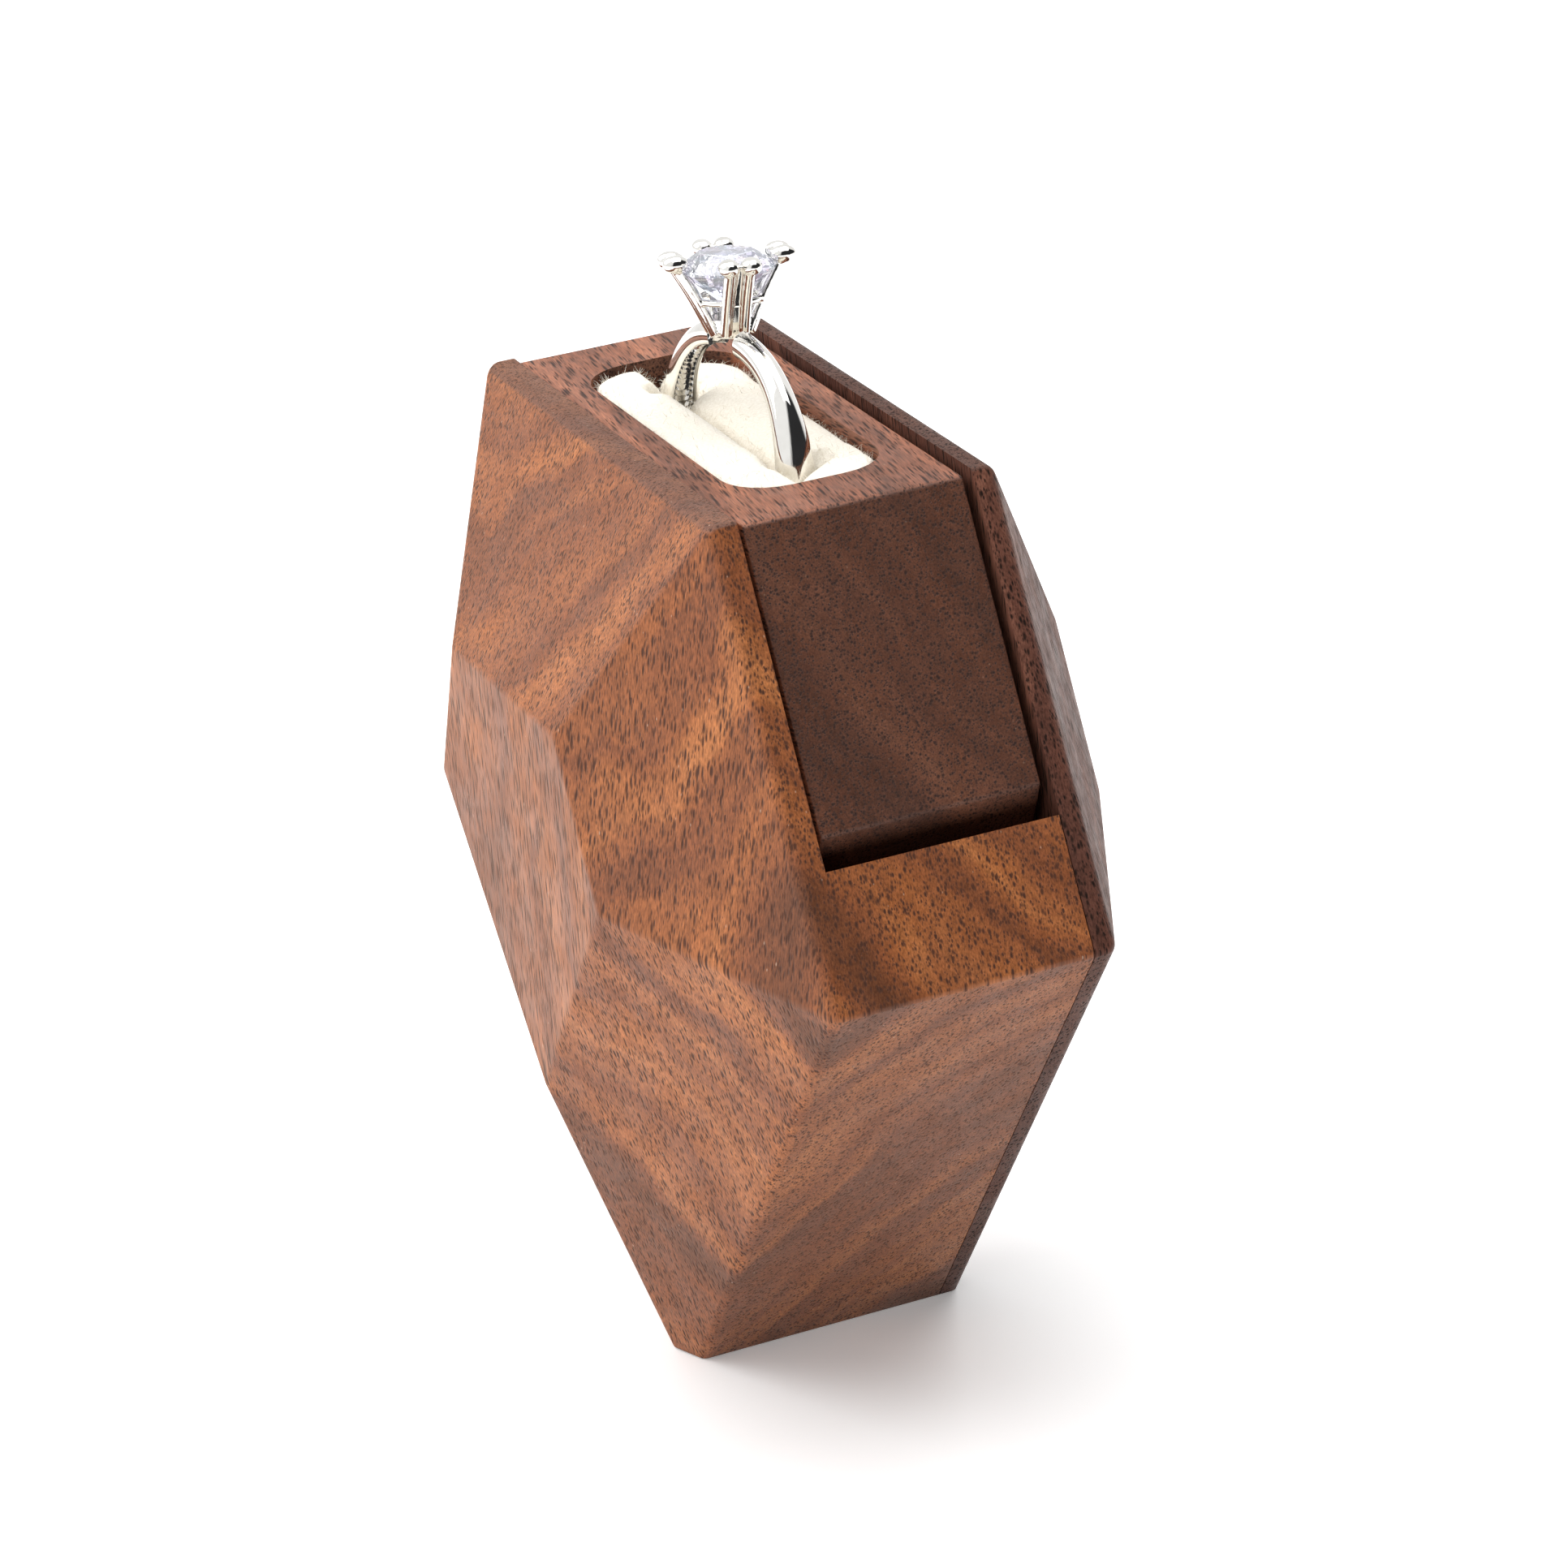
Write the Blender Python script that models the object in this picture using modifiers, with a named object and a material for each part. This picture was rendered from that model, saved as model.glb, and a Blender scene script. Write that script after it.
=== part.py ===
"""Ring box with a turning ring block, standing on its flattened tip.

The casing is a flat gem: two facetted faces round a rim with a short top, long upper sides,
a widest girdle and lower sides that meet at a tip.  The front face and the lower walls are one
piece, the rear face is a cover.  Between them a block turns half round on two stub pins, so its
ring faces up or hangs inside the round cavity.

Units are metres, +Z is up, +X runs along the ring slot and +Y points to the rear cover.
The origin is the centre of the flat tip.
"""

from math import cos, hypot, pi, radians, sin

import bmesh
import bpy
from mathutils import Matrix, Vector

# ---- driving dimensions ------------------------------------------------------------------
MM = 0.001

HEIGHT = 65.4 * MM            # tip to the top of the casing
TOP_HALF = 19.7 * MM          # half width of the top side
GIRDLE_HALF = 33.2 * MM       # half width at the widest point
GIRDLE_Z = 37.35 * MM
TIP_HALF = 2.7 * MM           # half width of the flat on the tip
RIM_DEPTH = 19.0 * MM         # depth of the rim, between the facetted faces
BULGE = 8.1 * MM              # how far each facetted face stands out from the rim
TOP_INSET = 15.3 * MM         # rim to plateau, measured square to each side
UPPER_INSET = 15.9 * MM
LOWER_INSET = 15.9 * MM
EDGE_ROUND = 0.6 * MM         # where the facets meet the rim
RIDGE_ROUND = 0.25 * MM       # between facets, and between the rim's sides
ROUND_SEGMENTS = 3

GAP = 0.3 * MM                # between neighbouring pieces
FRONT_WALL = 1.75 * MM        # front rim to the cavity
COVER_RIM = 1.4 * MM          # rim thickness of the rear cover

PIVOT_Z = 47.3 * MM
CAVITY_R = 29.35 * MM
BLOCK_DROP = 0.35 * MM        # block top below the casing top
BLOCK_SETBACK = 0.25 * MM     # block sides inside the casing sides
BLOCK_REAR_GAP = 0.55 * MM
BLOCK_EDGE = 0.3 * MM
BLANK_MARGIN = 4.0 * MM       # how far a cutting block stands clear of the casing

POCKET_HALF_X = 14.5 * MM
POCKET_HALF_Y = 5.3 * MM
POCKET_CORNER = 3.5 * MM
POCKET_DEPTH = 12.9 * MM
SLOT_HALF_X = 8.0 * MM        # the narrow slot under the pads
SLOT_HALF_Y = 1.75 * MM
SLOT_DEPTH = 15.8 * MM
PAD_DROP = 0.9 * MM           # pad tops below the block top
PAD_ROUND = 1.2 * MM
FELT = 0.6 * MM               # felt strip on the slot floor

PIN_R = 1.75 * MM
PIN_SOCKET = 4.4 * MM         # depth of the pins' sockets in the casing
BUSH_R = 3.0 * MM
BUSH_LENGTH = 3.5 * MM
BUSH_FIT = 0.25 * MM          # pin to bush

MAGNET_R = 1.75 * MM
MAGNET_THICK = 1.75 * MM
MAGNET_X = 22.0 * MM

RING_X = -0.5 * MM            # centre of the round band
RING_LEAN = radians(-4)       # how far the ring is turned in its slot
RING_MEAN_R = 9.25 * MM
BAND_THICK = 2.0 * MM
BAND_WIDTH = 2.5 * MM
BAND_STEPS = 44
SHOULDER = radians(45)        # where the round band turns into straight shoulders
SHOULDER_END_X = 2.9 * MM
HEAD_RISE = 10.9 * MM         # claw tips above the block top
HEAD_HEIGHT = 5.9 * MM
HEAD_TOP_R = 4.64 * MM
HEAD_BASE_R = 1.5 * MM
CUP_SHARE = 0.3               # height of the cup under the claws, as a share of the head
CLAW_R = 0.35 * MM
CLAW_SPREAD = radians(13)     # half the angle between the two claws of a pair
STONE_R = 2.88 * MM
STONE_TABLE_R = 1.9 * MM
STONE_SIDES = 16
STONE_CROWN = 1.05 * MM
STONE_GIRDLE = 0.17 * MM
STONE_PAVILION = 2.3 * MM
STONE_TOP = 0.25 * MM         # table below the claw tips

# ---- worked out from the above -----------------------------------------------------------
RIM_Y = RIM_DEPTH / 2
FACE_Y = RIM_Y + BULGE
CAVITY_FRONT = -RIM_Y + FRONT_WALL
COVER_Y = RIM_Y - COVER_RIM
SHELL_REAR = COVER_Y - GAP
BLOCK_FRONT = CAVITY_FRONT + GAP
BLOCK_REAR = COVER_Y - BLOCK_REAR_GAP
BLOCK_TOP = HEIGHT - BLOCK_DROP
SIDE_SLOPE = (GIRDLE_HALF - TOP_HALF) / (HEIGHT - GIRDLE_Z)
HEAD_TOP = BLOCK_TOP + HEAD_RISE
HEAD_BASE = HEAD_TOP - HEAD_HEIGHT
RING_Z = HEAD_BASE - RING_MEAN_R
PAST = 1.0 * MM               # how far a cutter runs past the face it opens


def clear_scene():
    for item in list(bpy.data.objects):
        bpy.data.objects.remove(item, do_unlink=True)


def new_collection(name):
    made = bpy.data.collections.new(name)
    bpy.context.scene.collection.children.link(made)
    return made


def material(name, colour, roughness, metallic=0.0, alpha=1.0):
    made = bpy.data.materials.new(name)
    made.use_nodes = True
    shader = made.node_tree.nodes["Principled BSDF"]
    shader.inputs["Base Color"].default_value = (*colour, 1.0)
    shader.inputs["Roughness"].default_value = roughness
    shader.inputs["Metallic"].default_value = metallic
    shader.inputs["Alpha"].default_value = alpha
    return made


def add_object(name, mesh, collection, surface=None):
    made = bpy.data.objects.new(name, mesh)
    collection.objects.link(made)
    if surface:
        mesh.materials.append(surface)
    return made


def mesh_from(name, bm):
    bmesh.ops.recalc_face_normals(bm, faces=bm.faces)
    mesh = bpy.data.meshes.new(name)
    bm.to_mesh(mesh)
    bm.free()
    return mesh


def smooth(item, angle=radians(30)):
    item.data.shade_smooth()
    item.data.set_sharp_from_angle(angle=angle)


def curve_to_mesh(item, surface):
    """Turn a curve object into a welded mesh object of the same name and place."""
    name, place, home = item.name, item.matrix_world.copy(), item.users_collection[0]
    view = bpy.context.evaluated_depsgraph_get()
    mesh = bpy.data.meshes.new_from_object(item.evaluated_get(view))
    curve = item.data
    bpy.data.objects.remove(item, do_unlink=True)
    bpy.data.curves.remove(curve)
    bm = bmesh.new()
    bm.from_mesh(mesh)
    bmesh.ops.remove_doubles(bm, verts=bm.verts, dist=0.02 * MM)
    bmesh.ops.recalc_face_normals(bm, faces=bm.faces)
    bm.to_mesh(mesh)
    bm.free()
    mesh.materials.clear()
    mesh.name = name
    made = add_object(name, mesh, home, surface)
    made.matrix_world = place
    return made


def plate(name, outline, y_low, y_high, collection, surface=None):
    """A flat piece: an outline in X and Z, made thick along Y."""
    curve = bpy.data.curves.new(name, "CURVE")
    curve.dimensions = "2D"
    curve.fill_mode = "BOTH"
    curve.extrude = (y_high - y_low) / 2
    spline = curve.splines.new("POLY")
    spline.points.add(len(outline) - 1)
    for point, (x, z) in zip(spline.points, outline):
        point.co = (x, z, 0.0, 1.0)
    spline.use_cyclic_u = True
    item = bpy.data.objects.new(name, curve)
    collection.objects.link(item)
    item.rotation_euler = (pi / 2, 0.0, 0.0)
    item.location = (0.0, (y_low + y_high) / 2, 0.0)
    bpy.context.view_layer.update()
    return curve_to_mesh(item, surface)


def rod(name, radius, y_low, y_high, x, z, collection, surface=None, sides=48):
    """A round bar along Y."""
    bm = bmesh.new()
    bmesh.ops.create_cone(
        bm, cap_ends=True, segments=sides, radius1=radius, radius2=radius, depth=y_high - y_low
    )
    made = add_object(name, mesh_from(name, bm), collection, surface)
    made.rotation_euler = (pi / 2, 0.0, 0.0)
    made.location = (x, (y_low + y_high) / 2, z)
    smooth(made)
    return made


def rounded_box(name, low, high, radius, collection, surface=None, axis=None, segments=4):
    """A box with rounded edges: all of them, or only those along one axis (0, 1 or 2)."""
    bm = bmesh.new()
    bmesh.ops.create_cube(bm, size=1.0)
    low, high = Vector(low), Vector(high)
    bmesh.ops.transform(bm, matrix=Matrix.Diagonal((*(high - low), 1.0)), verts=bm.verts)
    edges = list(bm.edges)
    if axis is not None:
        edges = [e for e in edges if abs((e.verts[0].co - e.verts[1].co).normalized()[axis]) > 0.9]
    bmesh.ops.bevel(bm, geom=edges, offset=radius, segments=segments, profile=0.5, affect="EDGES")
    made = add_object(name, mesh_from(name, bm), collection, surface)
    made.location = (low + high) / 2
    smooth(made)
    return made


def boolean(item, tool, operation="DIFFERENCE"):
    step = item.modifiers.new(tool.name, "BOOLEAN")
    step.operation = operation
    step.solver = "EXACT"
    step.object = tool
    tool.hide_render = True
    tool.display_type = "WIRE"


# ---- the facetted casing ------------------------------------------------------------------
def slice_off(bm, point, normal):
    """Cut away what lies beyond a plane and close the cut."""
    everything = list(bm.verts) + list(bm.edges) + list(bm.faces)
    done = bmesh.ops.bisect_plane(
        bm, geom=everything, plane_co=point, plane_no=normal, clear_outer=True
    )
    rim = [part for part in done["geom_cut"] if isinstance(part, bmesh.types.BMEdge)]
    if rim:
        bmesh.ops.contextual_create(bm, geom=rim)


def casing_sides():
    """Each side of the casing's outline: a point on it, its outward direction and its inset."""
    sides = [((0.0, HEIGHT), (0.0, 1.0), TOP_INSET)]
    for hand in (1, -1):
        for start, end, inset in (
            ((TOP_HALF, HEIGHT), (GIRDLE_HALF, GIRDLE_Z), UPPER_INSET),
            ((GIRDLE_HALF, GIRDLE_Z), (TIP_HALF, 0.0), LOWER_INSET),
        ):
            run_x, run_z = end[0] - start[0], end[1] - start[1]
            length = hypot(run_x, run_z)
            sides.append(((hand * start[0], start[1]), (-hand * run_z / length, run_x / length), inset))
    return sides


def gem_blank(name):
    """The whole casing as one sharp solid, cut from a block facet by facet.

    Each edge carries the share of EDGE_ROUND that its rounding takes.
    """
    bm = bmesh.new()
    bmesh.ops.create_cube(bm, size=1.0)
    size = (2 * GIRDLE_HALF + PAST, 2 * FACE_Y, HEIGHT)
    bmesh.ops.transform(bm, matrix=Matrix.Diagonal((*size, 1.0)), verts=bm.verts)
    bmesh.ops.translate(bm, vec=(0.0, 0.0, HEIGHT / 2), verts=bm.verts)
    for (x, z), (out_x, out_z), inset in casing_sides():
        slice_off(bm, (x, 0.0, z), (out_x, 0.0, out_z))
        for face in (-1, 1):
            slice_off(bm, (x, face * RIM_Y, z), (out_x * BULGE, face * inset, out_z * BULGE))
    bmesh.ops.dissolve_degenerate(bm, dist=0.01 * MM, edges=bm.edges)
    bmesh.ops.recalc_face_normals(bm, faces=bm.faces)
    weights = bm.edges.layers.float.new("bevel_weight_edge")
    for edge in bm.edges:
        on_rim = all(abs(abs(corner.co.y) - RIM_Y) < GAP for corner in edge.verts)
        along_y = abs(edge.verts[0].co.y - edge.verts[1].co.y) > GAP
        edge[weights] = 1.0 if on_rim and not along_y else RIDGE_ROUND / EDGE_ROUND
    return mesh_from(name, bm)


def casing_piece(name, cut_y, keep, parts, cutters, surface):
    """The blank's front part (keep -1) or rear part (keep 1), split at cut_y."""
    made = add_object(name, gem_blank(name), parts, surface)
    edge = made.modifiers.new("edges", "BEVEL")
    edge.limit_method = "WEIGHT"
    edge.width = EDGE_ROUND
    edge.segments = ROUND_SEGMENTS
    reach = FACE_Y + BLANK_MARGIN
    away = rounded_box(
        f"cut_{name}",
        (-GIRDLE_HALF - BLANK_MARGIN, min(cut_y, -keep * reach), -BLANK_MARGIN),
        (GIRDLE_HALF + BLANK_MARGIN, max(cut_y, -keep * reach), HEIGHT + BLANK_MARGIN),
        GAP, cutters, axis=1, segments=1,
    )
    boolean(made, away)
    smooth(made)
    return made


def make_casing(parts, cutters, front_wood, rear_wood, brass, nickel):
    shell = casing_piece("body_shell", SHELL_REAR, -1, parts, cutters, front_wood)
    cover = casing_piece("rear_cover", COVER_Y, 1, parts, cutters, rear_wood)

    cavity = rod(
        "cut_cavity", CAVITY_R, CAVITY_FRONT, SHELL_REAR + PAST, 0.0, PIVOT_Z, cutters, sides=128
    )
    boolean(shell, cavity)
    front_socket = rod(
        "cut_front_socket", PIN_R + GAP, CAVITY_FRONT - PIN_SOCKET, CAVITY_FRONT + PAST,
        0.0, PIVOT_Z, cutters,
    )
    boolean(shell, front_socket)
    rear_socket = rod(
        "cut_rear_socket", PIN_R + GAP, COVER_Y - PAST, COVER_Y + PIN_SOCKET, 0.0, PIVOT_Z, cutters
    )
    boolean(cover, rear_socket)

    pin_reach = BUSH_LENGTH - GAP
    rod(
        "front_pivot_pin", PIN_R, CAVITY_FRONT - PIN_SOCKET + GAP, BLOCK_FRONT + pin_reach,
        0.0, PIVOT_Z, parts, brass,
    )
    rod(
        "rear_pivot_pin", PIN_R, BLOCK_REAR - pin_reach, COVER_Y + PIN_SOCKET - GAP,
        0.0, PIVOT_Z, parts, brass,
    )

    depth = MAGNET_THICK + 2 * GAP
    for side, hand in (("left", -1), ("right", 1)):
        seat = rod(
            f"cut_shell_magnet_{side}", MAGNET_R + GAP, CAVITY_FRONT - depth, CAVITY_FRONT + PAST,
            hand * MAGNET_X, PIVOT_Z, cutters,
        )
        boolean(shell, seat)
        rod(
            f"shell_magnet_{side}", MAGNET_R, CAVITY_FRONT - GAP - MAGNET_THICK, CAVITY_FRONT - GAP,
            hand * MAGNET_X, PIVOT_Z, parts, nickel, sides=32,
        )


# ---- the turning block ---------------------------------------------------------------------
def block_outline():
    """Six corners, the same after half a turn about the pivot."""
    def half_at(z):
        return TOP_HALF + (HEIGHT - z) * SIDE_SLOPE - BLOCK_SETBACK

    top, reach = half_at(BLOCK_TOP), BLOCK_TOP - PIVOT_Z
    wide = half_at(PIVOT_Z)
    upper = [(wide, PIVOT_Z), (top, PIVOT_Z + reach), (-top, PIVOT_Z + reach)]
    return upper + [(-x, 2 * PIVOT_Z - z) for x, z in upper]


def make_block(parts, cutters, axle, wood, felt, steel, nickel):
    block = plate("ring_block", block_outline(), BLOCK_FRONT, BLOCK_REAR, parts, wood)
    edge = block.modifiers.new("edges", "BEVEL")
    edge.width = BLOCK_EDGE
    edge.segments = 2
    edge.limit_method = "ANGLE"

    pocket = rounded_box(
        "cut_pocket",
        (-POCKET_HALF_X, -POCKET_HALF_Y, BLOCK_TOP - POCKET_DEPTH),
        (POCKET_HALF_X, POCKET_HALF_Y, BLOCK_TOP + POCKET_DEPTH),
        POCKET_CORNER, cutters, axis=2, segments=6,
    )
    slot = rounded_box(
        "cut_slot",
        (-SLOT_HALF_X, -SLOT_HALF_Y, BLOCK_TOP - SLOT_DEPTH),
        (SLOT_HALF_X, SLOT_HALF_Y, BLOCK_TOP - POCKET_DEPTH + PAST),
        SLOT_HALF_Y / 2, cutters, axis=2,
    )
    boolean(block, pocket)
    boolean(block, slot)

    bore_depth = BUSH_LENGTH + 2 * GAP
    for side, face, inward in (("front", BLOCK_FRONT, 1), ("rear", BLOCK_REAR, -1)):
        ends = sorted((face - inward * PAST, face + inward * bore_depth))
        boolean(block, rod(f"cut_{side}_bore", BUSH_R + GAP, *ends, 0.0, PIVOT_Z, cutters))
        ends = sorted((face + inward * GAP / 2, face + inward * (GAP / 2 + BUSH_LENGTH)))
        bush(f"{side}_bush", *ends, parts, cutters, steel, axle)

    seat_depth = MAGNET_THICK + 2 * GAP
    for side, hand in (("left", -1), ("right", 1)):
        boolean(block, rod(
            f"cut_block_magnet_{side}", MAGNET_R + GAP, BLOCK_FRONT - PAST, BLOCK_FRONT + seat_depth,
            hand * MAGNET_X, PIVOT_Z, cutters,
        ))
        magnet = rod(
            f"block_magnet_{side}", MAGNET_R, BLOCK_FRONT + GAP, BLOCK_FRONT + GAP + MAGNET_THICK,
            hand * MAGNET_X, PIVOT_Z, parts, nickel, sides=32,
        )
        hang_on(magnet, axle)

    pad_gap = BAND_WIDTH / 2 + GAP
    wall = POCKET_HALF_Y - GAP
    end = POCKET_HALF_X - GAP
    base, top = BLOCK_TOP - POCKET_DEPTH + GAP, BLOCK_TOP - PAD_DROP
    for side, low_y, high_y in (("front", -wall, -pad_gap), ("rear", pad_gap, wall)):
        hang_on(pad(f"{side}_pad", (-end, low_y, base), (end, high_y, top), parts, felt), axle)
    floor = BLOCK_TOP - SLOT_DEPTH + GAP
    strip = rounded_box(
        "slot_felt",
        (-SLOT_HALF_X / 2, -SLOT_HALF_Y + GAP, floor),
        (SLOT_HALF_X / 2, SLOT_HALF_Y - GAP, floor + FELT),
        FELT / 4, parts, felt, segments=2,
    )
    hang_on(strip, axle)
    hang_on(block, axle)


def pad(name, low, high, parts, surface):
    """A felt cushion: its wall side follows the pocket's round corners."""
    bm = bmesh.new()
    bmesh.ops.create_cube(bm, size=1.0)
    low, high = Vector(low), Vector(high)
    bmesh.ops.transform(bm, matrix=Matrix.Diagonal((*(high - low), 1.0)), verts=bm.verts)
    wall_side = 1 if high.y > -low.y else -1
    corners = [
        e for e in bm.edges
        if abs(e.verts[0].co.z - e.verts[1].co.z) > GAP and e.verts[0].co.y * wall_side > 0
    ]
    bmesh.ops.bevel(
        bm, geom=corners, offset=POCKET_CORNER - GAP, segments=6, profile=0.5, affect="EDGES"
    )
    made = add_object(name, mesh_from(name, bm), parts, surface)
    made.location = (low + high) / 2
    edge = made.modifiers.new("soft_edges", "BEVEL")
    edge.width = PAD_ROUND
    edge.segments = 4
    edge.limit_method = "ANGLE"
    edge.angle_limit = radians(40)
    smooth(made)
    return made


def bush(name, y_low, y_high, parts, cutters, surface, axle):
    """A plain sleeve: a bar with the pin's bore through it."""
    sleeve = rod(name, BUSH_R, y_low, y_high, 0.0, PIVOT_Z, parts, surface)
    hole = rod(
        f"cut_{name}", PIN_R + BUSH_FIT, y_low - PAST, y_high + PAST, 0.0, PIVOT_Z, cutters
    )
    boolean(sleeve, hole)
    hang_on(sleeve, axle)


def hang_on(item, axle):
    """Parent a piece to the turning axle without moving it."""
    item.parent = axle
    item.matrix_parent_inverse = Matrix.Translation(-axle.location)


# ---- the ring ------------------------------------------------------------------------------
def band_route():
    """The band's mean line: straight shoulder, round band, straight shoulder."""
    start, sweep = SHOULDER, -(pi + 2 * SHOULDER)
    arc = []
    for step in range(BAND_STEPS + 1):
        angle = start + sweep * step / BAND_STEPS
        arc.append(Vector((RING_MEAN_R * cos(angle), 0.0, RING_MEAN_R * sin(angle))))
    lean = Vector((-sin(SHOULDER), 0.0, cos(SHOULDER)))
    reach = (arc[0].x - SHOULDER_END_X) / sin(SHOULDER)
    tips = [arc[0] + lean * reach * share for share in (1.0, 0.5)]
    mirrored = [Vector((-tip.x, 0.0, tip.z)) for tip in reversed(tips)]
    return tips + arc + mirrored


def make_ring(parts, cutters, axle, metal, stone_surface):
    curve = bpy.data.curves.new("ring_band", "CURVE")
    curve.dimensions = "3D"
    curve.bevel_depth = BAND_THICK / 2
    curve.bevel_resolution = 3
    curve.use_fill_caps = True
    spline = curve.splines.new("POLY")
    route = band_route()
    spline.points.add(len(route) - 1)
    for point, place in zip(spline.points, route):
        point.co = (*place, 1.0)
    item = bpy.data.objects.new("ring_band", curve)
    parts.objects.link(item)
    item.location = (RING_X, 0.0, RING_Z)
    item.scale = (1.0, BAND_WIDTH / BAND_THICK, 1.0)
    bpy.context.view_layer.update()
    band = curve_to_mesh(item, metal)
    smooth(band)
    for piece in (band, make_head(parts, cutters, metal), make_stone(parts, stone_surface)):
        lean_in_slot(piece)
        hang_on(piece, axle)


def lean_in_slot(item):
    """Turn an upright piece of the ring about the band's centre."""
    centre = Vector((RING_X, 0.0, RING_Z))
    turn = Matrix.Rotation(RING_LEAN, 4, "Y")
    bpy.context.view_layer.update()
    item.matrix_world = (
        Matrix.Translation(centre) @ turn @ Matrix.Translation(-centre) @ item.matrix_world
    )


def make_head(parts, cutters, metal):
    """A small cup with four pairs of claws that lean outwards."""
    bm = bmesh.new()
    cup_height = HEAD_HEIGHT * CUP_SHARE
    grow = (HEAD_TOP_R - HEAD_BASE_R) / HEAD_HEIGHT
    bmesh.ops.create_cone(
        bm, cap_ends=True, segments=32, radius1=HEAD_BASE_R, radius2=HEAD_BASE_R + grow * cup_height,
        depth=cup_height,
    )
    head = add_object("ring_head", mesh_from("ring_head", bm), parts, metal)
    head.location = (RING_X, 0.0, HEAD_BASE + cup_height / 2)
    for pair in range(4):
        for side in (-1, 1):
            angle = pair * pi / 2 + side * CLAW_SPREAD
            boolean(head, claw(f"claw_{pair}_{side + 1}", angle, cutters), "UNION")
    smooth(head)
    return head


def claw(name, angle, cutters):
    """One claw: a slim bar from inside the cup out to the claw circle."""
    inner = HEAD_BASE_R - CLAW_R
    foot = Vector((inner * cos(angle), inner * sin(angle), CLAW_R))
    tip_r = HEAD_TOP_R - CLAW_R
    tip = Vector((tip_r * cos(angle), tip_r * sin(angle), HEAD_HEIGHT - CLAW_R / 2))
    lean = tip - foot
    bm = bmesh.new()
    bmesh.ops.create_cone(
        bm, cap_ends=True, segments=12, radius1=CLAW_R, radius2=CLAW_R, depth=lean.length
    )
    made = add_object(name, mesh_from(name, bm), cutters)
    made.rotation_euler = lean.to_track_quat("Z", "Y").to_euler()
    made.location = (foot + tip) / 2 + Vector((RING_X, 0.0, HEAD_BASE))
    lean_in_slot(made)
    return made


def make_stone(parts, surface):
    """A round brilliant: a turned profile with the facet count of a real one."""
    table_z = HEAD_TOP - STONE_TOP
    girdle_z = table_z - STONE_CROWN
    profile = (
        (0.0, table_z), (STONE_TABLE_R, table_z), (STONE_R, girdle_z),
        (STONE_R, girdle_z - STONE_GIRDLE), (0.0, girdle_z - STONE_PAVILION),
    )
    mesh = bpy.data.meshes.new("ring_stone")
    points = [(x, 0.0, z - girdle_z) for x, z in profile]
    mesh.from_pydata(points, [(i, i + 1) for i in range(len(points) - 1)], [])
    stone = add_object("ring_stone", mesh, parts, surface)
    stone.location = (RING_X, 0.0, girdle_z)
    turn = stone.modifiers.new("turned", "SCREW")
    turn.axis = "Z"
    turn.steps = STONE_SIDES
    turn.render_steps = STONE_SIDES
    turn.use_merge_vertices = True
    turn.merge_threshold = 0.01 * MM
    return stone


def build():
    clear_scene()
    parts = new_collection("ring_box")
    cutters = new_collection("cutters")

    front_wood = material("casing_walnut", (0.23, 0.09, 0.038), 0.5)
    rear_wood = material("cover_walnut", (0.12, 0.045, 0.025), 0.5)
    block_wood = material("block_walnut", (0.10, 0.045, 0.03), 0.5)
    felt = material("cream_felt", (0.87, 0.82, 0.70), 0.95)
    brass = material("pin_brass", (0.60, 0.43, 0.18), 0.3, metallic=1.0)
    steel = material("bush_steel", (0.55, 0.55, 0.56), 0.35, metallic=1.0)
    nickel = material("magnet_nickel", (0.62, 0.62, 0.62), 0.25, metallic=1.0)
    silver = material("ring_silver", (0.80, 0.79, 0.76), 0.1, metallic=1.0)
    crystal = material("ring_crystal", (0.93, 0.93, 0.98), 0.02, alpha=0.35)

    axle = bpy.data.objects.new("block_axle", None)
    axle.location = (0.0, 0.0, PIVOT_Z)
    parts.objects.link(axle)

    make_casing(parts, cutters, front_wood, rear_wood, brass, nickel)
    make_block(parts, cutters, axle, block_wood, felt, steel, nickel)
    make_ring(parts, cutters, axle, silver, crystal)


build()
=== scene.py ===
"""Looks of the turning ring box: walnut casing and block, cream felt, a silver ring with a stone.

Shapes are in metres in the CAD model's own frame, and the materials' patterns in millimetres.
The felt and the seam's lip take their places from the CAD nodes, the ring from its constants.
"""

import random
from math import copysign, cos, hypot, pi, radians, sin

import bmesh
import bpy
from mathutils import Matrix, Vector, noise


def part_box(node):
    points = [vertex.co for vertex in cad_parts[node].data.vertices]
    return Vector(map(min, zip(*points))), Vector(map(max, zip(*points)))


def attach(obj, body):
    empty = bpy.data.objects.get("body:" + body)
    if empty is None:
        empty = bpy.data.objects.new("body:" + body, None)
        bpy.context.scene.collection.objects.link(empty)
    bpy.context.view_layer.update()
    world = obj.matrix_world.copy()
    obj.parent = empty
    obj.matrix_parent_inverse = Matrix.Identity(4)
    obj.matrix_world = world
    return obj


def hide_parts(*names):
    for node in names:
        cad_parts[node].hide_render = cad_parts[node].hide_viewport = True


MM = 0.001
WELD = 0.002 * MM             # points of a CAD mesh closer than this are one

BODY = "casing"
TURNING = "turning_block"

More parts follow.
